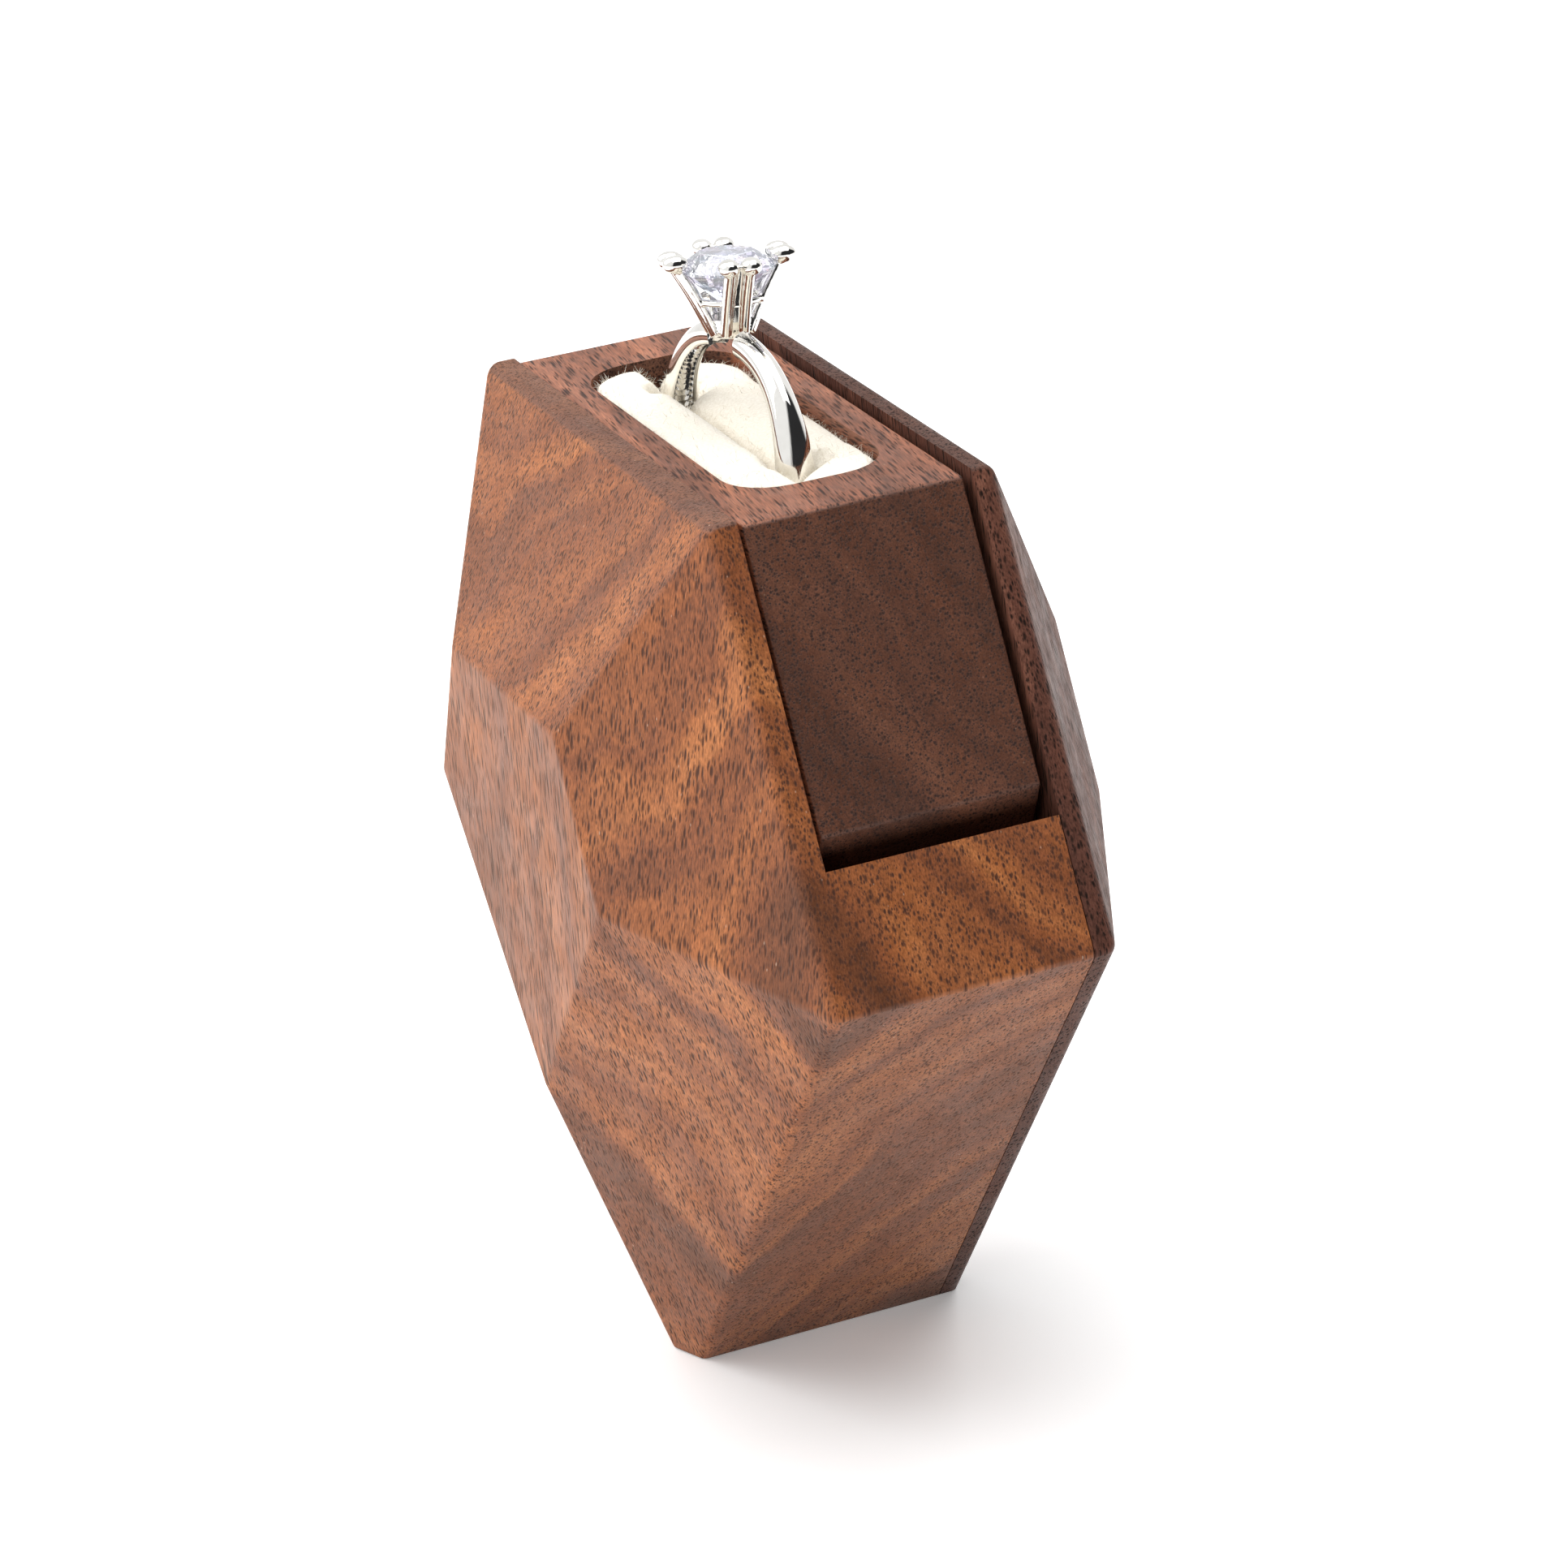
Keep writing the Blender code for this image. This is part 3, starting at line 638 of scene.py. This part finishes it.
def make_stone(crystal):
    """A round brilliant: the convex hull of the corners of its facets."""
    bm = bmesh.new()

    def corner(share, turn, rise):
        """A corner at a share of the stone's radius, turn sixteenths round and rise radii up."""
        angle = turn * pi / 8
        flat = Vector((cos(angle), sin(angle), 0)) * STONE_R * share
        bm.verts.new(flat + Vector((0, 0, GIRDLE_Z + rise * STONE_R)))

    for k in range(8):
        corner(0.57, 2 * k, 0.325)          # table
        corner(0.80, 2 * k + 1, 0.19)       # crown
        corner(0.22, 2 * k, -0.66)          # pavilion
    for k in range(16):
        corner(1.0, k, 0.02)                # girdle
        corner(1.0, k, -0.03)
    corner(0.0, 0, -0.86)                   # point
    bmesh.ops.convex_hull(bm, input=bm.verts)
    bmesh.ops.dissolve_limit(bm, angle_limit=radians(1.0), verts=bm.verts, edges=bm.edges)
    set_ring_piece(object_from("ring_stone_cut", bm, crystal), "ring_stone")


# ---- felt pads ------------------------------------------------------------------------------
SIM_SCALE = 20.0              # the pads are simulated at this size, where cloth is stable
SIM_FRAMES = 20
SIM_LIMIT = 0.2 * MM          # the furthest that the simulation may move the felt
PAD_TRIM = 0.12 * MM
PAD_CORNER_R = 3.1 * MM
PAD_EDGE_R = 0.35 * MM
PAD_VOXEL = 0.34 * MM
SLIT = 0.09 * MM              # half the width of the slit between the pads
SLIT_FLARE = 0.1 * MM         # how much further each pad stands back at its top
FLARE_DEPTH = 1.2 * MM
PAD_FACE = 1.55 * MM          # the CAD pads' side of the slit
PAD_SWELL = 0.18 * MM         # how far the felt stands out towards the pocket's wall
HOLD_NEAR = 0.85 * MM         # felt this near the band's middle line is pushed aside by it
HOLD_FAR = 1.35 * MM          # and beyond this it closes the slit
HOLD_GAP = 0.05 * MM          # between the band and the felt that it pushes aside
FLUSH_GAP = 0.04 * MM         # from the felt's top to the block's
TOP_SHAPES = {                # dip at the slit, end below flush, share of the depth to get there
    -1: (0.15 * MM, 0.0, 0.25),
    1: (0.20 * MM, 0.25 * MM, 0.6),
}
TOP_FROM = 2.4 * MM           # how far below its top a pad is shaped, and where fully
TOP_FULL = 0.2 * MM
WOBBLE = 0.08 * MM            # unevenness of the felt's top
WOBBLE_SIZE = 3.6 * MM

FUZZ_COUNT = 900
FUZZ_DEPTH = 1.2 * MM         # how far below the felt's top the fibres start
FUZZ_LONG = (0.2 * MM, 0.6 * MM)
FUZZ_CURL = 0.22 * MM
FUZZ_R = 0.016 * MM

LINING_GRID = 0.8 * MM
LINING_WEAR = 0.07 * MM       # how far the lining's face lies inside the CAD strip's
LINING_NAP = 0.05 * MM


def pad_mesh(low, high, side, name):
    """A block of foam as an even grid, rounded where it meets the pocket's ends."""
    bm = bmesh.new()
    bmesh.ops.create_cube(bm, size=1.0)
    size = Vector(high) - Vector(low)
    bmesh.ops.transform(bm, matrix=Matrix.Diagonal((*size, 1.0)), verts=bm.verts)
    upright = [e for e in bm.edges if abs(e.verts[0].co.z - e.verts[1].co.z) > MM]
    outer = [e for e in upright if e.verts[0].co.y * side > 0]
    bmesh.ops.bevel(bm, geom=outer, offset=PAD_CORNER_R, segments=8, profile=0.5, affect="EDGES")
    sharp = [e for e in bm.edges if len(e.link_faces) == 2 and e.calc_face_angle() > radians(40)]
    bmesh.ops.bevel(bm, geom=sharp, offset=PAD_EDGE_R, segments=3, profile=0.5, affect="EDGES")
    bmesh.ops.translate(bm, vec=(Vector(low) + Vector(high)) / 2, verts=bm.verts)
    mesh = bpy.data.meshes.new(name)
    bm.to_mesh(mesh)
    bm.free()
    item = bpy.data.objects.new(name, mesh)
    bpy.context.scene.collection.objects.link(item)
    remesh = item.modifiers.new("even", "REMESH")
    remesh.mode = "VOXEL"
    remesh.voxel_size = PAD_VOXEL
    apply_modifiers(item)
    return item


def inflate(item, most):
    """Swell the pad with cloth pressure, and let no point move further than most."""
    start = [vertex.co.copy() for vertex in item.data.vertices]
    item.data.transform(Matrix.Scale(SIM_SCALE, 4))
    cloth = item.modifiers.new("cloth", "CLOTH")
    cloth.settings.quality = 6
    cloth.settings.mass = 0.3
    cloth.settings.tension_stiffness = 25
    cloth.settings.compression_stiffness = 25
    cloth.settings.bending_stiffness = 2.0
    cloth.settings.use_pressure = True
    cloth.settings.uniform_pressure_force = 4.0
    cloth.settings.effector_weights.gravity = 0.0
    scene = bpy.context.scene
    for number in range(1, SIM_FRAMES + 1):
        scene.frame_set(number)
    view = bpy.context.evaluated_depsgraph_get()
    moved = [vertex.co / SIM_SCALE for vertex in item.evaluated_get(view).data.vertices]
    item.modifiers.clear()
    scene.frame_set(1)
    for vertex, home, now in zip(item.data.vertices, start, moved):
        step = now - home
        if step.length > most:
            step *= most / step.length
        vertex.co = home + step
    item.data.update()


def settle_pad(item, side, low, high):
    """Close the slit between the pads, wrap them round the ring and shape their tops."""
    wall = max(abs(low[1]), abs(high[1]))
    top = high[2]
    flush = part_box("ring_block")[1][2] - top - FLUSH_GAP
    dip, short, reach = TOP_SHAPES[side]
    place = ring_place()
    route = [place @ point for point, _ in band_route(0.5 * MM)]
    for vertex in item.data.vertices:
        x, y, z = vertex.co
        depth = side * y
        near, offset = min((hypot(x - p.x, z - p.z), p.y) for p in route)
        squeeze = 1.0 - smoothstep(near, HOLD_NEAR, HOLD_FAR)
        share = min(max((depth - PAD_FACE) / (wall - PAD_FACE), 0.0), 1.0)
        flare = 1.0 - smoothstep(top - z, 0.0, FLARE_DEPTH)
        held = BAND_WIDTH / 2 + side * offset + HOLD_GAP
        face = SLIT + (held - SLIT) * squeeze + SLIT_FLARE * flare
        depth = face + (wall + PAD_SWELL - face) * share + min(depth - PAD_FACE, 0.0) * 0.5
        x *= 1 + (PAD_SWELL + PAD_TRIM) / high[0]
        level = (depth - face) / (wall - face)
        crown = -dip + (flush - short + dip) * smoothstep(level, 0.0, reach)
        rise = smoothstep(z, top - TOP_FROM, top - TOP_FULL)
        wobble = noise.noise(Vector((x, y, z)) / WOBBLE_SIZE + Vector((side * 7, 0, 0))) * WOBBLE
        vertex.co = (x, side * depth, z + rise * (crown + wobble))
    item.data.update()


def add_fuzz(pad, felt, seed):
    """Loose fibres standing off the top of the felt, most of them along its edges."""
    rng = random.Random(seed)
    top = max(v.co.z for v in pad.data.vertices)
    upper = [v for v in pad.data.vertices if v.co.z > top - FUZZ_DEPTH and v.normal.z > 0.1]
    edges = [v for v in upper if v.normal.z < 0.85]
    bm = bmesh.new()
    for number in range(FUZZ_COUNT):
        root = rng.choice(edges if number % 3 else upper)
        heading = (root.normal + Vector([rng.uniform(-1.1, 1.1) for _ in range(3)])).normalized()
        curl = Vector([rng.uniform(-1, 1) for _ in range(3)]) * FUZZ_CURL
        long = rng.uniform(*FUZZ_LONG)
        path = [root.co + heading * long * (k / 4 - 0.15) + curl * (k / 4) ** 2 for k in range(5)]
        tube(bm, path, [FUZZ_R * (1.1 - k / 5) for k in range(5)], sides=3)
    fuzz = object_from(f"{pad.name}_fuzz", bm, felt)
    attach(fuzz, TURNING)


def make_pads(felt):
    for seed, (name, side) in enumerate((("front_pad", -1), ("rear_pad", 1))):
        low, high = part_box(name)
        inner_low = [v + PAD_TRIM for v in low]
        inner_high = [v - PAD_TRIM for v in high]
        pad = pad_mesh(inner_low, inner_high, side, f"{name}_felt")
        inflate(pad, SIM_LIMIT)
        settle_pad(pad, side, low, high)
        finer = pad.modifiers.new("finer", "SUBSURF")
        finer.levels = 1
        finer.render_levels = 1
        apply_modifiers(pad)
        pad.data.shade_smooth()
        pad.data.materials.append(felt)
        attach(pad, TURNING)
        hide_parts(name)
        add_fuzz(pad, felt, seed)


def make_slot_lining(felt):
    """The felt in the slot under the pads, with an uneven napped face."""
    bm = bmesh.new()
    bm.from_mesh(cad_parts["slot_felt"].data)
    bmesh.ops.remove_doubles(bm, verts=bm.verts, dist=WELD)
    for _ in range(2):
        long = [e for e in bm.edges if e.calc_length() > LINING_GRID]
        bmesh.ops.subdivide_edges(bm, edges=long, cuts=3, use_grid_fill=True)
    bm.normal_update()
    for vertex in bm.verts:
        nap = noise.noise(vertex.co / (0.7 * MM))
        vertex.co -= vertex.normal * (LINING_WEAR + LINING_NAP * nap)
    lining = object_from("slot_lining_felt", bm, felt, 40)
    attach(lining, TURNING)
    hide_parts("slot_felt")


# ---- stage, light and camera ----------------------------------------------------------------
LENS_MM = 130.4
CAMERA_AZIMUTH = radians(69.12)
CAMERA_ELEVATION = radians(22.30)
CAMERA_ROLL = radians(-5.34)
CAMERA_DISTANCE = 373.2 * MM
CAMERA_TARGET = Vector((3.31, 0.0, 40.46)) * MM
DARK_SIDE = (0.86, 0.50, 0.0)     # the unlit room, to the right of the camera
SKY_STOPS = ((0.30, (1.0, 1.0, 1.0, 1.0)), (0.46, (0.03, 0.03, 0.032, 1.0)))
SKY_STRENGTH = 0.95
BOX_MIDDLE = (0.0, 0.0, 0.035)
FLOOR_R = 3.0


def make_camera():
    azimuth, elevation, roll = CAMERA_AZIMUTH, CAMERA_ELEVATION, CAMERA_ROLL
    back = Vector((sin(azimuth) * cos(elevation), -cos(azimuth) * cos(elevation), sin(elevation)))
    right = Vector((cos(azimuth), sin(azimuth), 0.0))
    up = back.cross(right)
    turned_right = right * cos(roll) + up * sin(roll)
    turned_up = up * cos(roll) - right * sin(roll)
    data = bpy.data.cameras.new("camera")
    data.lens = LENS_MM
    data.sensor_width = 36.0
    data.clip_start = 0.01
    camera = bpy.data.objects.new("camera", data)
    bpy.context.scene.collection.objects.link(camera)
    turn = Matrix((turned_right, turned_up, back)).transposed().to_4x4()
    camera.matrix_world = Matrix.Translation(CAMERA_TARGET + back * CAMERA_DISTANCE) @ turn
    bpy.context.scene.camera = camera


def area_light(name, place, size, power):
    """A square light that faces the box."""
    data = bpy.data.lights.new(name, "AREA")
    data.shape = "SQUARE"
    data.size = size
    data.energy = power
    item = bpy.data.objects.new(name, data)
    bpy.context.scene.collection.objects.link(item)
    item.location = place
    heading = Vector(BOX_MIDDLE) - Vector(place)
    item.rotation_euler = heading.to_track_quat("-Z", "Y").to_euler()


def make_floor():
    bm = bmesh.new()
    bmesh.ops.create_circle(bm, cap_ends=True, segments=96, radius=FLOOR_R)
    floor = object_from("floor", bm, plain_floor())


def make_world():
    """A white room with one dark side."""
    world = bpy.data.worlds.new("studio")
    bpy.context.scene.world = world
    world.use_nodes = True
    tree = world.node_tree
    sky = tree.nodes["Background"]
    coordinates = tree.nodes.new("ShaderNodeTexCoord")
    facing = tree.nodes.new("ShaderNodeVectorMath")
    facing.operation = "DOT_PRODUCT"
    facing.inputs[1].default_value = DARK_SIDE
    ramp = tree.nodes.new("ShaderNodeValToRGB")
    tree.links.new(coordinates.outputs["Generated"], facing.inputs[0])
    tree.links.new(facing.outputs["Value"], ramp.inputs[0])
    tree.links.new(ramp.outputs[0], sky.inputs["Color"])
    for stop, (place, colour) in zip(ramp.color_ramp.elements, SKY_STOPS):
        stop.position = place
        stop.color = colour
    sky.inputs["Strength"].default_value = SKY_STRENGTH


# ---- put together ---------------------------------------------------------------------------
bpy.context.scene.view_settings.view_transform = "Standard"
make_camera()
make_floor()
make_world()
area_light("key", (-0.35, -0.5, 0.6), 0.7, 4.0)
area_light("top", (0.0, 0.15, 0.9), 0.9, 6.0)

casing_wood, cover_wood, block_wood = make_walnuts()
felt = felt_material()
silver = metal_material("polished_silver", (0.90, 0.885, 0.85), (0.82, 0.80, 0.76), 0.045)
brass = metal_material("turned_brass", (0.72, 0.52, 0.24), (0.55, 0.39, 0.17), 0.22)
steel = metal_material("sleeve_steel", (0.62, 0.62, 0.63), (0.48, 0.48, 0.5), 0.3)
nickel = metal_material("magnet_nickel", (0.74, 0.73, 0.71), (0.6, 0.6, 0.59), 0.18)

dress("body_shell", casing_wood)
dress("rear_cover", cover_wood)
dress("ring_block", block_wood)
flatten_facets(("body_shell", "rear_cover", "ring_block"))
for side in ("front", "rear"):
    dress(f"{side}_pivot_pin", brass)
    dress(f"{side}_bush", steel)
for side in ("left", "right"):
    dress(f"shell_magnet_{side}", nickel)
    dress(f"block_magnet_{side}", nickel)

make_seam_lip(casing_wood)
make_band(silver)
make_head(silver)
make_stone(crystal_material())
make_pads(felt)
make_slot_lining(felt)
